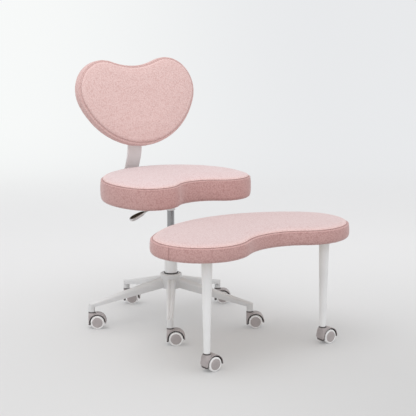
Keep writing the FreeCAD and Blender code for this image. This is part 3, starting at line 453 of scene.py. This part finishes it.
def floor_finish(stage):
    """Seamless matt paper with painted shade darkening it towards the camera and in the near right corner; for
    the camera it glows as painted light, faintly near the chair to lift the shadows and fully behind it,
    brighter on the left.
    """
    finish = Finish("studio_paper")
    local = finish.turned_place((0, 0, 0), -(stage.view_heading + stage.view_turn))
    across, depth = finish.along((1, 0, 0), local), finish.along((0, 1, 0), local)
    # Painted shade: the paper darkens towards the camera and towards the near right corner.
    near = finish.mix(across.step(-0.2, 1.0), stage.floor_grey, stage.corner_painted_shade)
    base = finish.mix(depth.step(-1.2, 1.6), near, stage.far_grey)
    finish.surface(base_color=base, roughness=0.8, specular_ior_level=0.2)
    behind = depth.step(0.6, 4.6)
    sides = finish.mix(across.step(-1.6, 1.2), stage.left_glow, stage.right_glow)
    glow = finish.node("ShaderNodeEmission", None, {"Color": finish.mix(behind, stage.fill_glow, sides)})
    seen = finish.node("ShaderNodeLightPath", output="Is Camera Ray")
    surface = finish.node("ShaderNodeMixShader", None, {
        0: (0.22 + behind * 0.78) * seen, 1: Wire(finish, finish.shader.outputs[0]), 2: glow})
    finish.feed(finish.tree.nodes["Material Output"].inputs["Surface"], surface)
    return finish.material


# Modelling helpers


def deselect_all():
    if bpy.context.mode != "OBJECT":
        bpy.ops.object.mode_set(mode="OBJECT")
    bpy.ops.object.select_all(action="DESELECT")


def make_active(obj):
    deselect_all()
    obj.select_set(True)
    bpy.context.view_layer.objects.active = obj


def new_object(name, mesh):
    obj = bpy.data.objects.new(name, mesh)
    bpy.context.scene.collection.objects.link(obj)
    make_active(obj)
    return obj


def apply_modifier(obj, kind, **settings):
    """Add a modifier, set it and apply it."""
    make_active(obj)
    modifier = obj.modifiers.new(kind.title(), kind)
    for name, value in settings.items():
        setattr(modifier, name, value)
    bpy.ops.object.modifier_apply(modifier=modifier.name)


def paint(material, *names):
    """Give CAD nodes a finish."""
    for name in names:
        slots = NODES[name].material_slots
        if not slots:
            NODES[name].data.materials.append(material)
        for slot in slots:
            slot.material = material


def finish_piece(obj, material, body, slot, *replaced):
    """Dress a new piece, and let it ride on its body in place of CAD nodes."""
    obj.data.materials.clear()
    obj.data.materials.append(material)
    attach(obj, body)
    if replaced:
        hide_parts(*replaced)
    return obj


def heights(mesh, out):
    """How far each point lies along a direction."""
    return [vertex.co.dot(out) for vertex in mesh.vertices]


# Cushions


def hold_edge(obj, out, sizes):
    """Part the cover's points into those that the board holds and the free ones; returns the free ones."""
    levels = heights(obj.data, out)
    limit = min(levels) + sizes.held
    for name, held in (("held", True), ("free", False)):
        points = [index for index, level in enumerate(levels) if (level < limit) is held]
        obj.vertex_groups.new(name=name).add(points, 1, "REPLACE")
    return obj.vertex_groups["free"]


def ease(values, edges):
    """Even out a value between neighbouring points."""
    for _ in range(EASE_ROUNDS):
        total = list(values)
        count = [1] * len(values)
        for first, second in edges:
            total[first] += values[second]
            total[second] += values[first]
            count[first] += 1
            count[second] += 1
        values = [part / number for part, number in zip(total, count)]
    return values


def blow_up(obj, sizes):
    """Let the cover swell under pressure where the board doesn't hold it, evenly and up to the cap."""
    rest = [(vertex.co.copy(), vertex.normal.copy()) for vertex in obj.data.vertices]
    modifier = obj.modifiers.new("Cover", "CLOTH")
    for name, value in CLOTH.items():
        setattr(modifier.settings, name, value)
    modifier.settings.effector_weights.gravity = 0
    modifier.collision_settings.use_collision = False
    modifier.point_cache.frame_start = 1
    modifier.point_cache.frame_end = SIM_FRAMES
    scene = bpy.context.scene
    for number in range(1, SIM_FRAMES + 1):
        scene.frame_set(number)
    blown = obj.evaluated_get(bpy.context.evaluated_depsgraph_get()).data
    puffs = [min(max((vertex.co - start).dot(normal), 0), sizes.swell)
             for vertex, (start, normal) in zip(blown.vertices, rest)]
    obj.modifiers.remove(modifier)
    edges = [tuple(edge.vertices) for edge in obj.data.edges]
    for vertex, (start, normal), puff in zip(obj.data.vertices, rest, ease(puffs, edges)):
        vertex.co = start + normal * puff
    scene.frame_set(1)
    apply_modifier(obj, "SMOOTH", factor=0.5, iterations=SMOOTH_ROUNDS)


def sew_seam(obj, out, level, sizes):
    """Pinch the cover along a level: a narrow groove between two turned edges, on edge loops of their own."""
    make_active(obj)
    bpy.ops.object.mode_set(mode="EDIT")
    for loop in range(-3, 4):
        bpy.ops.mesh.select_all(action="SELECT")
        bpy.ops.mesh.bisect(plane_co=out * (level + loop * sizes.seam_width), plane_no=out, threshold=CUT)
    bpy.ops.object.mode_set(mode="OBJECT")
    mesh = obj.data
    normals = [vertex.normal.copy() for vertex in mesh.vertices]
    nap = obj.vertex_groups.new(name="nap")
    for vertex, normal in zip(mesh.vertices, normals):
        distance = abs(vertex.co.dot(out) - level) / sizes.seam_width
        groove = sizes.seam_depth * math.exp(-distance ** 2)
        ridge = sizes.seam_ridge * math.exp(-(distance - 2) ** 2)
        vertex.co += normal * (ridge - groove)
        nap.add([vertex.index], 1 - NAP_CALM * math.exp(-(distance / NAP_REACH) ** 2), "REPLACE")


def noise_texture(name, kind, spacing, **settings):
    texture = bpy.data.textures.new(name, kind)
    texture.noise_scale = spacing
    for setting, value in settings.items():
        setattr(texture, setting, value)
    return texture


def raise_fleece(obj, sizes):
    """Raise the fleece's tufts and curls out of the cover."""
    tufts = noise_texture("tufts", "CLOUDS", sizes.tuft, noise_depth=1)
    curls = noise_texture("curls", "CLOUDS", sizes.curl, noise_depth=2, noise_type="HARD_NOISE")
    for texture, height in ((tufts, sizes.tuft_height), (curls, sizes.curl_height)):
        apply_modifier(
            obj, "DISPLACE", texture=texture, texture_coords="LOCAL", strength=height, mid_level=0.5,
            vertex_group="nap")
    obj.vertex_groups.clear()


def cushion_body(name, node, out, crown, sizes):
    """Padded cover over a CAD cushion's form; returns it and the level of its seam."""
    cover = new_object(name, NODES[node].data.copy())
    bpy.ops.object.mode_set(mode="EDIT")
    bpy.ops.mesh.select_all(action="SELECT")
    bpy.ops.mesh.remove_doubles(threshold=MERGE)
    bpy.ops.object.mode_set(mode="OBJECT")
    top = max(heights(cover.data, out))
    cover.data.remesh_voxel_size = sizes.voxel
    bpy.ops.object.voxel_remesh()
    free = hold_edge(cover, out, sizes)
    apply_modifier(cover, "DISPLACE", strength=-sizes.draw_in, mid_level=0, vertex_group=free.name)
    blow_up(cover, sizes)
    cover.vertex_groups.clear()
    apply_modifier(cover, "SUBSURF", levels=1, render_levels=1)
    return cover, top - crown


def section_loop(obj, name, point, normal, keep=None):
    """Line where a plane cuts a piece, as a mesh of edges, only where the test keeps it."""
    line = new_object(name, obj.data.copy())
    bpy.ops.object.mode_set(mode="EDIT")
    bpy.ops.mesh.select_all(action="SELECT")
    bpy.ops.mesh.bisect(plane_co=point, plane_no=normal, clear_inner=True, clear_outer=True, threshold=CUT)
    bpy.ops.mesh.select_all(action="DESELECT")
    bpy.ops.object.mode_set(mode="OBJECT")
    if keep:
        for vertex in line.data.vertices:
            vertex.select = not keep(vertex.co)
        bpy.ops.object.mode_set(mode="EDIT")
        bpy.ops.mesh.delete(type="VERT")
        bpy.ops.object.mode_set(mode="OBJECT")
    return line


def corded(line, radius):
    """Turn a line of edges into a round cord of one mesh."""
    make_active(line)
    bpy.ops.object.convert(target="CURVE")
    curve = line.data
    curve.bevel_depth = radius
    curve.bevel_resolution = 2
    curve.use_fill_caps = True
    for spline in curve.splines:
        spline.use_smooth = True
    bpy.ops.object.convert(target="MESH")
    bpy.ops.object.shade_smooth()
    return line


def sew_join(obj, name, point, outward, level, sizes):
    """Pinch the side of a cover along an upright join below the seam; returns the thread that lies in it."""
    across = UP.cross(outward)
    steep, share, hem = 0.8, 0.6, 0.004

    def on_side(place):
        return (place - point).dot(outward) > sizes.join_reach and place.z < level - 2 * sizes.seam_width

    normals = [vertex.normal.copy() for vertex in obj.data.vertices]
    for vertex, normal in zip(obj.data.vertices, normals):
        if on_side(vertex.co) and abs(normal.z) < steep:
            distance = (vertex.co - point).dot(across) / (2 * sizes.seam_width)
            vertex.co -= normal * (share * sizes.seam_depth * math.exp(-distance ** 2))
    low = min(vertex.co.z for vertex in obj.data.vertices) + hem
    line = section_loop(obj, name, point, across, lambda place: on_side(place) and place.z > low)
    return corded(line, sizes.thread)


def upholster(label, body, out, crown, shade, sizes, colours, thread, joins=()):
    """A cushion with its seam, its upright joins and their threads in place of the CAD cushion."""
    node = f"{label}_cushion"
    cover, level = cushion_body(f"{label}_cover", node, out, crown, sizes)
    sew_seam(cover, out, level, sizes)
    cords = [corded(section_loop(cover, f"{label}_thread", out * level, out), sizes.thread)]
    for number, (point, heading) in enumerate(joins, 1):
        outward = Vector((math.cos(heading), math.sin(heading), 0))
        cords.append(sew_join(cover, f"{label}_join_{number}", point, outward, level, sizes))
    raise_fleece(cover, sizes)
    make_active(cover)
    bpy.ops.object.shade_smooth()
    finish_piece(cover, fleece_finish(label, colours, out, level, shade), body, "pink_fleece", node)
    for cord in cords:
        finish_piece(cord, thread, body, "pink_fleece")


class CHAIR_OT_cushions(bpy.types.Operator):
    """Blow up, seam and cover the seat, the back and the bench in fleece"""

    bl_idname = "chair.cushions"
    bl_label = "Cushions"

    def execute(self, context):
        sizes = context.scene.chair_sizes
        colours = context.scene.chair_colours
        # Painted shade: the threads are darker than the fleece beside them, to deepen the dark line of each
        # seam.
        dark = thread_finish("shaded_seam_thread", colours.shaded_side_deep)
        light = thread_finish("light_thread", colours.back_deep)
        forward = Vector((0, -math.cos(sizes.back_tilt), math.sin(sizes.back_tilt)))
        # Share of painted shade on the sides: full on the seat and the bench, about a third on the back.
        upholster("seat", "seat", UP, sizes.seat_crown, 1, sizes, colours, dark)
        upholster("back", "seat", forward, sizes.back_crown, 0.35, sizes, colours, light)
        quarter = math.pi / 2
        joins = []
        for side in (-1, 1):
            lobe = Vector((side * sizes.join_x, -sizes.join_y, 0))
            joins.append((lobe, quarter - side * (quarter + sizes.join_turn)))
        upholster("bench", "bench", UP, sizes.bench_crown, 1, sizes, colours, dark, joins)
        return {"FINISHED"}


class CHAIR_OT_boards(bpy.types.Operator):
    """Give the boards under the cushions their birch veneer"""

    bl_idname = "chair.boards"
    bl_label = "Boards"

    def execute(self, context):
        paint(plywood_finish(context.scene.chair_colours), "seat_board", "back_board", "bench_board")
        return {"FINISHED"}


class CHAIR_OT_metalwork(bpy.types.Operator):
    """Coat the base, column, back bar, bench arm and legs, and plate the fasteners"""

    bl_idname = "chair.metalwork"
    bl_label = "Metalwork"

    def execute(self, context):
        colours = context.scene.chair_colours
        paint(coat_finish("grey_coat", colours.base_grey), "star_base")
        paint(coat_finish("white_coat", colours.white_coat), "column_tube", "back_bar", "seat_plate",
              "collar_stop_ring", "swing_collar", "swing_arm", "bench_leg_right", "bench_leg_left")
        paint(metal_finish("polished_cylinder", colours.gas_grey, 0.16), "gas_cylinder")
        paint(metal_finish("zinc_plate", colours.zinc, 0.30, 0.15), "base_caster_stems", "bench_caster_stems",
              "thrust_bearing", "retaining_clip", "piston_rod", "lever_rod", "lever_pin", "release_pin",
              "seat_bolts", "back_bar_bolts", "back_bolts", "bench_screws",
              *[f"{caster}_axle" for caster in CASTERS])
        return {"FINISHED"}


class CHAIR_OT_plastics(bpy.types.Operator):
    """Give the bushes and the ring their black plastic, and the lever's chromed grip its painted dark
    reflection on top
    """

    bl_idname = "chair.plastics"
    bl_label = "Black plastics"

    def execute(self, context):
        colours = context.scene.chair_colours
        paint(plastic_finish("black_plastic", colours.black), "column_ring", "guide_bush", "collar_bush")
        paint(grip_finish(colours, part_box("lever_grip"), context.scene.chair_sizes.lever_slope), "lever_grip")
        return {"FINISHED"}


class CHAIR_OT_casters(bpy.types.Operator):
    """Colour the caster housings with painted shade in their wells, under the legs and along their bottoms, and
    part each wheel into a grey disc and a white tread
    """

    bl_idname = "chair.casters"
    bl_label = "Casters"

    def execute(self, context):
        sizes = context.scene.chair_sizes
        colours = context.scene.chair_colours
        joints = {joint["name"]: joint for joint in frame["joints"]}
        for caster in CASTERS:
            roll = joints[f"{caster}_near_roll"]
            heading = math.atan2(-roll["axis"][0], roll["axis"][1])
            place = roll["pos_m"], heading
            paint(housing_finish(f"{caster}_plastic", colours, sizes, *place), f"{caster}_housing")
            paint(wheel_finish(f"{caster}_wheels", colours, sizes, *place),
                  f"{caster}_wheel_near", f"{caster}_wheel_far")
        return {"FINISHED"}


# Stage


def area_lamp(name, place, target, side, power):
    lamp = bpy.data.lights.new(name, "AREA")
    lamp.shape = "SQUARE"
    lamp.size = side
    lamp.energy = power
    obj = bpy.data.objects.new(name, lamp)
    obj.location = place
    obj.rotation_euler = (Vector(target) - Vector(place)).to_track_quat("-Z", "Y").to_euler()
    bpy.context.scene.collection.objects.link(obj)


class CHAIR_OT_stage(bpy.types.Operator):
    """Lay the studio paper, hang the lamp and stand the camera"""

    bl_idname = "chair.stage"
    bl_label = "Stage"

    def execute(self, context):
        scene = context.scene
        stage = scene.chair_stage
        self.lay_paper(stage)
        self.hang_lamp(scene)
        self.stand_camera(scene, stage)
        scene.view_settings.view_transform = "Standard"
        return {"FINISHED"}

    def lay_paper(self, stage):
        """Floor that sweeps up into a backdrop behind the chair, square to the camera."""
        deselect_all()
        bpy.ops.mesh.primitive_plane_add(size=2 * PAPER_HALF)
        paper = bpy.context.object
        paper.name = "studio_paper"
        bpy.ops.object.mode_set(mode="EDIT")
        bpy.ops.mesh.select_all(action="DESELECT")
        bpy.ops.object.mode_set(mode="OBJECT")
        for edge in paper.data.edges:
            edge.select = all(paper.data.vertices[index].co.y > 0 for index in edge.vertices)
        bpy.ops.object.mode_set(mode="EDIT")
        bpy.ops.mesh.select_mode(type="EDGE")
        bpy.ops.mesh.extrude_region_move(TRANSFORM_OT_translate={"value": (0, 0, PAPER_RISE)})
        bpy.ops.object.mode_set(mode="OBJECT")
        for edge in paper.data.edges:
            edge.select = all(abs(paper.data.vertices[index].co.z) < 0.01 and
                              paper.data.vertices[index].co.y > 0 for index in edge.vertices)
        bpy.ops.object.mode_set(mode="EDIT")
        bpy.ops.mesh.bevel(offset=PAPER_SWEEP, segments=24, profile=0.5)
        bpy.ops.object.mode_set(mode="OBJECT")
        bpy.ops.object.shade_smooth()
        paper.data.transform(Matrix.Rotation(-(stage.view_heading + stage.view_turn), 4, "Z"))
        paper.data.materials.append(floor_finish(stage))

    def hang_lamp(self, scene):
        world = bpy.data.worlds.new("Studio")
        world.use_nodes = True
        sky = world.node_tree.nodes["Background"].inputs
        sky["Color"].default_value = (1, 1, 1, 1)
        sky["Strength"].default_value = SKY
        scene.world = world
        area_lamp("softbox", **SOFTBOX)

    def stand_camera(self, scene, stage):
        camera = bpy.data.objects.new("camera", bpy.data.cameras.new("camera"))
        camera.data.sensor_width = 36
        camera.data.lens = stage.lens
        reach, heading = stage.view_distance, stage.view_heading
        camera.location = (-reach * math.sin(heading), -reach * math.cos(heading), stage.view_height)
        camera.rotation_euler = (math.pi / 2 - stage.view_pitch, 0, -(heading + stage.view_turn))
        scene.collection.objects.link(camera)
        scene.camera = camera


class CHAIR_PT_panel(bpy.types.Panel):
    """Lists the chair's pieces"""

    bl_idname = "CHAIR_PT_panel"
    bl_label = "Chair"
    bl_space_type = "VIEW_3D"
    bl_region_type = "UI"
    bl_category = "Chair"

    def draw(self, context):
        for operator in OPERATORS:
            self.layout.operator(operator.bl_idname)


GROUPS = {"chair_sizes": ChairSizes, "chair_colours": ChairColours, "chair_stage": ChairStage}
OPERATORS = (CHAIR_OT_stage, CHAIR_OT_cushions, CHAIR_OT_boards, CHAIR_OT_metalwork, CHAIR_OT_plastics,
             CHAIR_OT_casters)


def register():
    for name, group in GROUPS.items():
        bpy.utils.register_class(group)
        setattr(bpy.types.Scene, name, bpy.props.PointerProperty(type=group))
    for operator in OPERATORS:
        bpy.utils.register_class(operator)
    bpy.utils.register_class(CHAIR_PT_panel)


def unregister():
    bpy.utils.unregister_class(CHAIR_PT_panel)
    for operator in reversed(OPERATORS):
        bpy.utils.unregister_class(operator)
    for name, group in GROUPS.items():
        delattr(bpy.types.Scene, name)
        bpy.utils.unregister_class(group)


def main():
    register()
    bpy.ops.chair.stage()
    bpy.ops.chair.cushions()
    bpy.ops.chair.boards()
    bpy.ops.chair.metalwork()
    bpy.ops.chair.plastics()
    bpy.ops.chair.casters()


if __name__ == "__main__":
    main()
